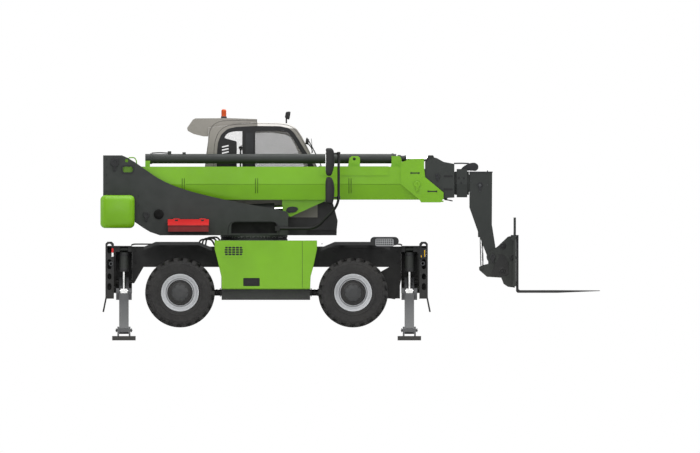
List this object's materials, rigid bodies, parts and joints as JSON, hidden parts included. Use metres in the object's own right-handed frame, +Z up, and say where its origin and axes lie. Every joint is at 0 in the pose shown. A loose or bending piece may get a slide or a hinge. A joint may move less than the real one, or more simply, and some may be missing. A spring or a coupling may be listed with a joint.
{
  "type": "telehandler",
  "caption": "Rotating telehandler on four wheels and four outriggers: slewing turret with cab, telescopic boom and tilting fork carriage.",
  "frame": {"origin": "on the ground, in the middle of the machine's length and width", "axes": "+X forward along the boom, +Y to the left, where the cab is, +Z up"},
  "size_m": [7.3916, 4.048, 3.422],
  "materials": {
    "tyre": "matte black rubber",
    "rim_paint": "silver paint",
    "green_paint": "gloss green paint",
    "chrome_rod": "hard chrome",
    "clear_glass": "clear safety glass",
    "cab_paint": "beige paint",
    "red_paint": "red paint",
    "seat_cover": "black upholstery",
    "black_plastic": "black plastic",
    "amber_plastic": "amber lens",
    "dark_steel": "dark grey paint on forged steel",
    "grey_paint": "grey paint",
    "dark_paint": "dark grey paint"
  },
  "bodies": {
    "chassis": {"chassis_frame": "dark_paint", "side_housings": "green_paint", "engine": "dark_steel", "slew_ring": "dark_steel", "wheel_guards": "dark_paint", "outrigger_frames": "dark_paint", "axles": "dark_steel", "chassis_lamps": "black_plastic"},
    "side_cover": {"side_cover_right": "green_paint"},
    "turret": {"turret_frame": "dark_paint", "counterweight": "green_paint", "toolbox": "red_paint", "cab_shell": "cab_paint", "cab_glass": "clear_glass", "cab_roof": "cab_paint", "operator_seat": "seat_cover", "controls": "black_plastic", "mirrors": "black_plastic", "beacon": "amber_plastic", "roof_lamp": "black_plastic"},
    "toolbox_lid": {"toolbox_lid": "red_paint"},
    "cab_door": {"cab_door": "cab_paint", "cab_door_glass": "clear_glass"},
    "boom_base": {"boom_base": "green_paint", "telescope_barrel": "dark_paint"},
    "boom_2": {"boom_section_2": "dark_paint", "telescope_rod": "chrome_rod"},
    "boom_3": {"boom_section_3": "dark_paint"},
    "boom_4": {"boom_nose": "dark_paint"},
    "lift_barrel": {"lift_barrel": "dark_paint"},
    "lift_rod": {"lift_rod": "chrome_rod"},
    "tilt_barrel": {"tilt_barrel": "dark_paint"},
    "tilt_rod": {"tilt_rod": "chrome_rod"},
    "carriage": {"fork_carriage": "dark_paint", "forks": "dark_steel"},
    "knuckle_front_left": {"knuckle_front_left": "dark_steel"},
    "wheel_front_left": {"rim_front_left": "rim_paint", "tyre_front_left": "tyre"},
    "leg_front_left": {"outrigger_leg_front_left": "grey_paint"},
    "leg_barrel_front_left": {"leg_barrel_front_left": "dark_paint"},
    "leg_rod_front_left": {"leg_rod_front_left": "chrome_rod"},
    "knuckle_front_right": {"knuckle_front_right": "dark_steel"},
    "wheel_front_right": {"rim_front_right": "rim_paint", "tyre_front_right": "tyre"},
    "leg_front_right": {"outrigger_leg_front_right": "grey_paint"},
    "leg_barrel_front_right": {"leg_barrel_front_right": "dark_paint"},
    "leg_rod_front_right": {"leg_rod_front_right": "chrome_rod"},
    "knuckle_rear_left": {"knuckle_rear_left": "dark_steel"},
    "wheel_rear_left": {"rim_rear_left": "rim_paint", "tyre_rear_left": "tyre"},
    "leg_rear_left": {"outrigger_leg_rear_left": "grey_paint"},
    "leg_barrel_rear_left": {"leg_barrel_rear_left": "dark_paint"},
    "leg_rod_rear_left": {"leg_rod_rear_left": "chrome_rod"},
    "knuckle_rear_right": {"knuckle_rear_right": "dark_steel"},
    "wheel_rear_right": {"rim_rear_right": "rim_paint", "tyre_rear_right": "tyre"},
    "leg_rear_right": {"outrigger_leg_rear_right": "grey_paint"},
    "leg_barrel_rear_right": {"leg_barrel_rear_right": "dark_paint"},
    "leg_rod_rear_right": {"leg_rod_rear_right": "chrome_rod"}
  },
  "joints": [
    {"name": "turret_slew", "type": "hinge", "parent": "chassis", "child": "turret", "pos_m": [-1.421, 0, 1.53], "axis": [0, 0, 1], "continuous": true},
    {"name": "boom_lift", "type": "hinge", "parent": "turret", "child": "boom_base", "pos_m": [-3.481, -0.2, 2.634], "axis": [0, -1, 0], "range_deg": [0, 75]},
    {"name": "telescope_2", "type": "slide", "parent": "boom_base", "child": "boom_2", "axis": [1, 0, 0], "range_m": [0, 3.1]},
    {"name": "telescope_3", "type": "slide", "parent": "boom_2", "child": "boom_3", "axis": [1, 0, 0], "range_m": [0, 3.11]},
    {"name": "telescope_4", "type": "slide", "parent": "boom_3", "child": "boom_4", "axis": [1, 0, 0], "range_m": [0, 3.11]},
    {"name": "fork_tilt", "type": "hinge", "parent": "boom_4", "child": "carriage", "pos_m": [2.11, -0.2, 1.236], "axis": [0, 1, 0], "range_deg": [-20, 75]},
    {"name": "lift_barrel_swing", "type": "hinge", "parent": "turret", "child": "lift_barrel", "pos_m": [-3.016, -0.2, 1.857], "axis": [0, -1, 0], "range_deg": [-1, 72.8]},
    {"name": "lift_rod_slide", "type": "slide", "parent": "lift_barrel", "child": "lift_rod", "axis": [0.9988, 0, 0.0483], "range_m": [-0.005, 1.103]},
    {"name": "tilt_barrel_swing", "type": "hinge", "parent": "boom_4", "child": "tilt_barrel", "pos_m": [1.924, -0.2, 2.298], "axis": [0, 1, 0], "range_deg": [-4, 4]},
    {"name": "tilt_rod_slide", "type": "slide", "parent": "tilt_barrel", "child": "tilt_rod", "axis": [0.0245, 0, -0.9997], "range_m": [-0.3, 0.1]},
    {"name": "steer_front_left", "type": "hinge", "parent": "chassis", "child": "knuckle_front_left", "pos_m": [0.046, 0.865, 0.707], "axis": [0, 0, 1], "range_deg": [-30, 30]},
    {"name": "spin_front_left", "type": "hinge", "parent": "knuckle_front_left", "child": "wheel_front_left", "pos_m": [0.046, 1.015, 0.707], "axis": [0, 1, 0], "continuous": true},
    {"name": "swing_front_left", "type": "hinge", "parent": "chassis", "child": "leg_front_left", "pos_m": [0.878, 0.56, 0.872], "axis": [1, 0, 0], "range_deg": [0, 45]},
    {"name": "leg_barrel_swing_front_left", "type": "hinge", "parent": "chassis", "child": "leg_barrel_front_left", "pos_m": [0.878, 0.8, 1.352], "axis": [1, 0, 0], "range_deg": [-1, 6]},
    {"name": "leg_rod_slide_front_left", "type": "slide", "parent": "leg_barrel_front_left", "child": "leg_rod_front_left", "axis": [0, 0, 1], "range_m": [-0.01, 0.23]},
    {"name": "steer_front_right", "type": "hinge", "parent": "chassis", "child": "knuckle_front_right", "pos_m": [0.046, -0.865, 0.707], "axis": [0, 0, 1], "range_deg": [-30, 30]},
    {"name": "spin_front_right", "type": "hinge", "parent": "knuckle_front_right", "child": "wheel_front_right", "pos_m": [0.046, -1.015, 0.707], "axis": [0, 1, 0], "continuous": true},
    {"name": "swing_front_right", "type": "hinge", "parent": "chassis", "child": "leg_front_right", "pos_m": [0.878, -0.56, 0.872], "axis": [-1, 0, 0], "range_deg": [0, 45]},
    {"name": "leg_barrel_swing_front_right", "type": "hinge", "parent": "chassis", "child": "leg_barrel_front_right", "pos_m": [0.878, -0.8, 1.352], "axis": [-1, 0, 0], "range_deg": [-1, 6]},
    {"name": "leg_rod_slide_front_right", "type": "slide", "parent": "leg_barrel_front_right", "child": "leg_rod_front_right", "axis": [0, 0, 1], "range_m": [-0.01, 0.23]},
    {"name": "steer_rear_left", "type": "hinge", "parent": "chassis", "child": "knuckle_rear_left", "pos_m": [-2.516, 0.865, 0.707], "axis": [0, 0, 1], "range_deg": [-30, 30]},
    {"name": "spin_rear_left", "type": "hinge", "parent": "knuckle_rear_left", "child": "wheel_rear_left", "pos_m": [-2.516, 1.015, 0.707], "axis": [0, 1, 0], "continuous": true},
    {"name": "swing_rear_left", "type": "hinge", "parent": "chassis", "child": "leg_rear_left", "pos_m": [-3.346, 0.56, 0.872], "axis": [1, 0, 0], "range_deg": [0, 45]},
    {"name": "leg_barrel_swing_rear_left", "type": "hinge", "parent": "chassis", "child": "leg_barrel_rear_left", "pos_m": [-3.346, 0.8, 1.352], "axis": [1, 0, 0], "range_deg": [-1, 6]},
    {"name": "leg_rod_slide_rear_left", "type": "slide", "parent": "leg_barrel_rear_left", "child": "leg_rod_rear_left", "axis": [0, 0, 1], "range_m": [-0.01, 0.23]},
    {"name": "steer_rear_right", "type": "hinge", "parent": "chassis", "child": "knuckle_rear_right", "pos_m": [-2.516, -0.865, 0.707], "axis": [0, 0, 1], "range_deg": [-30, 30]},
    {"name": "spin_rear_right", "type": "hinge", "parent": "knuckle_rear_right", "child": "wheel_rear_right", "pos_m": [-2.516, -1.015, 0.707], "axis": [0, 1, 0], "continuous": true},
    {"name": "swing_rear_right", "type": "hinge", "parent": "chassis", "child": "leg_rear_right", "pos_m": [-3.346, -0.56, 0.872], "axis": [-1, 0, 0], "range_deg": [0, 45]},
    {"name": "leg_barrel_swing_rear_right", "type": "hinge", "parent": "chassis", "child": "leg_barrel_rear_right", "pos_m": [-3.346, -0.8, 1.352], "axis": [-1, 0, 0], "range_deg": [-1, 6]},
    {"name": "leg_rod_slide_rear_right", "type": "slide", "parent": "leg_barrel_rear_right", "child": "leg_rod_rear_right", "axis": [0, 0, 1], "range_m": [-0.01, 0.23]},
    {"name": "cab_door_swing", "type": "hinge", "parent": "turret", "child": "cab_door", "pos_m": [-1.557, 1.163, 2.4], "axis": [0, 0, 1], "range_deg": [0, 100]},
    {"name": "side_cover_lift", "type": "hinge", "parent": "chassis", "child": "side_cover", "pos_m": [-1.246, -1.115, 1.471], "axis": [-1, 0, 0], "range_deg": [0, 80]},
    {"name": "toolbox_lid_lift", "type": "hinge", "parent": "turret", "child": "toolbox_lid", "pos_m": [-2.393, -0.495, 1.797], "axis": [-1, 0, 0], "range_deg": [0, 95]}
  ],
  "couplings": [
    {"joint": "telescope_3", "follows": "telescope_2", "ratio": 1},
    {"joint": "telescope_4", "follows": "telescope_2", "ratio": 1},
    {"joint": "lift_barrel_swing", "follows": "boom_lift", "ratio": 0.95743},
    {"joint": "lift_rod_slide", "follows": "boom_lift", "m_per_rad": 0.83481},
    {"joint": "tilt_barrel_swing", "follows": "fork_tilt", "ratio": 0.04},
    {"joint": "tilt_rod_slide", "follows": "fork_tilt", "m_per_rad": -0.20819},
    {"joint": "leg_barrel_swing_front_left", "follows": "swing_front_left", "ratio": 0.0888},
    {"joint": "leg_rod_slide_front_left", "follows": "swing_front_left", "m_per_rad": 0.267},
    {"joint": "leg_barrel_swing_front_right", "follows": "swing_front_right", "ratio": 0.0888},
    {"joint": "leg_rod_slide_front_right", "follows": "swing_front_right", "m_per_rad": 0.267},
    {"joint": "leg_barrel_swing_rear_left", "follows": "swing_rear_left", "ratio": 0.0888},
    {"joint": "leg_rod_slide_rear_left", "follows": "swing_rear_left", "m_per_rad": 0.267},
    {"joint": "leg_barrel_swing_rear_right", "follows": "swing_rear_right", "ratio": 0.0888},
    {"joint": "leg_rod_slide_rear_right", "follows": "swing_rear_right", "m_per_rad": 0.267},
    {"joint": "steer_front_right", "follows": "steer_front_left", "ratio": 1},
    {"joint": "steer_rear_right", "follows": "steer_rear_left", "ratio": 1}
  ]
}
